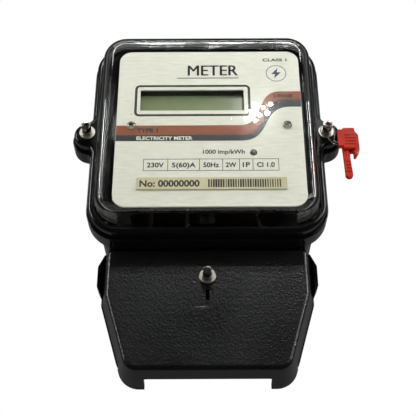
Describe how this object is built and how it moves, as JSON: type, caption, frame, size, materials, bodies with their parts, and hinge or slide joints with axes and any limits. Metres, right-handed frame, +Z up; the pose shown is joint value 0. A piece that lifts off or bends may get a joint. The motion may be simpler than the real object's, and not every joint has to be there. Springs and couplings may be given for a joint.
{
  "type": "electricity meter",
  "caption": "Wall-hung single-phase meter: clear domed cover with sealed ear screws, printed plate with LCD, and a tapered terminal cover with a cable notch.",
  "frame": {"origin": "on the wall plane, on the centre line, level with the two ear screws of the front cover", "axes": "+X to the viewer's right, +Y into the wall, +Z up"},
  "size_m": [0.1446, 0.0475, 0.1823],
  "materials": {
    "black_gloss": "glossy moulded",
    "black_grain": "fine leather grain",
    "clear_window": "clear polished polycarbonate",
    "black_phenolic": "moulded",
    "rubber_seal": "matte",
    "printed_plate": "satin print",
    "printed_label": "printed film",
    "grey_plastic": "moulded",
    "lcd_panel": "gloss",
    "white_plastic": "moulded",
    "silicone": "matte",
    "led_lens": "clear tinted",
    "circuit_board": "solder mask",
    "component_black": "moulded",
    "component_yellow": "moulded",
    "component_sleeve": "heat-shrink sleeve",
    "component_blue": "dipped",
    "lead_red": "PVC",
    "lead_white": "PVC",
    "lead_black": "PVC",
    "copper": "tinned bright",
    "brass": "machined",
    "nickel_steel": "bright nickel plate",
    "zinc_steel": "zinc plate",
    "red_seal": "translucent moulded",
    "seal_wire": "twisted wire"
  },
  "bodies": {
    "base": {"base_housing": "black_gloss", "terminal_block": "black_phenolic", "line_in_terminal": "brass", "line_out_terminal": "brass", "neutral_in_terminal": "brass", "neutral_out_terminal": "brass", "current_shunt": "copper", "neutral_link": "copper", "main_board": "circuit_board", "metering_chip": "component_black", "dropper_capacitor": "component_yellow", "reservoir_capacitor": "component_sleeve", "surge_varistor": "component_blue", "timing_crystal": "zinc_steel", "lcd_glass": "lcd_panel", "lcd_frame": "white_plastic", "upper_contact_strip": "silicone", "lower_contact_strip": "silicone", "pulse_led": "led_lens", "plate_carrier": "grey_plastic", "nameplate": "printed_plate", "serial_label": "printed_label", "left_plate_screw": "zinc_steel", "right_plate_screw": "zinc_steel", "board_screw_1": "zinc_steel", "board_screw_2": "zinc_steel", "board_screw_3": "zinc_steel", "board_screw_4": "zinc_steel", "cover_gasket": "rubber_seal", "left_insert": "brass", "right_insert": "brass", "terminal_insert": "brass", "hanger_screw": "zinc_steel", "line_lead": "lead_red", "shunt_lead": "lead_white", "neutral_lead": "lead_black"},
    "hanger": {"hanger_bracket": "zinc_steel"},
    "cover": {"cover_frame": "black_gloss", "window": "clear_window", "right_washer": "nickel_steel"},
    "left_screw": {"left_sealing_screw": "nickel_steel", "left_washer": "nickel_steel"},
    "right_screw_and_seal": {"right_sealing_screw": "nickel_steel", "seal_wire": "seal_wire", "seal_body": "red_seal", "seal_rotor": "red_seal"},
    "terminal_cover": {"terminal_cover": "black_grain"},
    "terminal_screw": {"terminal_sealing_screw": "nickel_steel", "terminal_washer": "nickel_steel"},
    "line_in_lower_clamp": {"line_in_lower_clamp_screw": "zinc_steel"},
    "line_in_upper_clamp": {"line_in_upper_clamp_screw": "zinc_steel"},
    "line_out_lower_clamp": {"line_out_lower_clamp_screw": "zinc_steel"},
    "line_out_upper_clamp": {"line_out_upper_clamp_screw": "zinc_steel"},
    "neutral_in_lower_clamp": {"neutral_in_lower_clamp_screw": "zinc_steel"},
    "neutral_in_upper_clamp": {"neutral_in_upper_clamp_screw": "zinc_steel"},
    "neutral_out_lower_clamp": {"neutral_out_lower_clamp_screw": "zinc_steel"},
    "neutral_out_upper_clamp": {"neutral_out_upper_clamp_screw": "zinc_steel"}
  },
  "joints": [
    {"name": "cover_lift", "type": "slide", "parent": "base", "child": "cover", "axis": [0, -1, 0], "range_m": [0, 0.04]},
    {"name": "left_screw_out", "type": "slide", "parent": "cover", "child": "left_screw", "axis": [0, -1, 0], "range_m": [0, 0.0072]},
    {"name": "right_screw_turn", "type": "hinge", "parent": "cover", "child": "right_screw_and_seal", "pos_m": [0.0604, -0.035, 0], "axis": [0, -1, 0], "range_deg": [0, 45]},
    {"name": "terminal_cover_lift", "type": "slide", "parent": "base", "child": "terminal_cover", "axis": [0, -1, 0], "range_m": [0, 0.03]},
    {"name": "terminal_screw_out", "type": "slide", "parent": "terminal_cover", "child": "terminal_screw", "axis": [0, -1, 0], "range_m": [0, 0.0102]},
    {"name": "hanger_slide", "type": "slide", "parent": "base", "child": "hanger", "axis": [0, 0, 1], "range_m": [0, 0.012]},
    {"name": "line_in_lower_clamp_down", "type": "slide", "parent": "base", "child": "line_in_lower_clamp", "axis": [0, 1, 0], "range_m": [0, 0.0036]},
    {"name": "line_in_upper_clamp_down", "type": "slide", "parent": "base", "child": "line_in_upper_clamp", "axis": [0, 1, 0], "range_m": [0, 0.0036]},
    {"name": "line_out_lower_clamp_down", "type": "slide", "parent": "base", "child": "line_out_lower_clamp", "axis": [0, 1, 0], "range_m": [0, 0.0036]},
    {"name": "line_out_upper_clamp_down", "type": "slide", "parent": "base", "child": "line_out_upper_clamp", "axis": [0, 1, 0], "range_m": [0, 0.0036]},
    {"name": "neutral_in_lower_clamp_down", "type": "slide", "parent": "base", "child": "neutral_in_lower_clamp", "axis": [0, 1, 0], "range_m": [0, 0.0036]},
    {"name": "neutral_in_upper_clamp_down", "type": "slide", "parent": "base", "child": "neutral_in_upper_clamp", "axis": [0, 1, 0], "range_m": [0, 0.0036]},
    {"name": "neutral_out_lower_clamp_down", "type": "slide", "parent": "base", "child": "neutral_out_lower_clamp", "axis": [0, 1, 0], "range_m": [0, 0.0036]},
    {"name": "neutral_out_upper_clamp_down", "type": "slide", "parent": "base", "child": "neutral_out_upper_clamp", "axis": [0, 1, 0], "range_m": [0, 0.0036]}
  ]
}
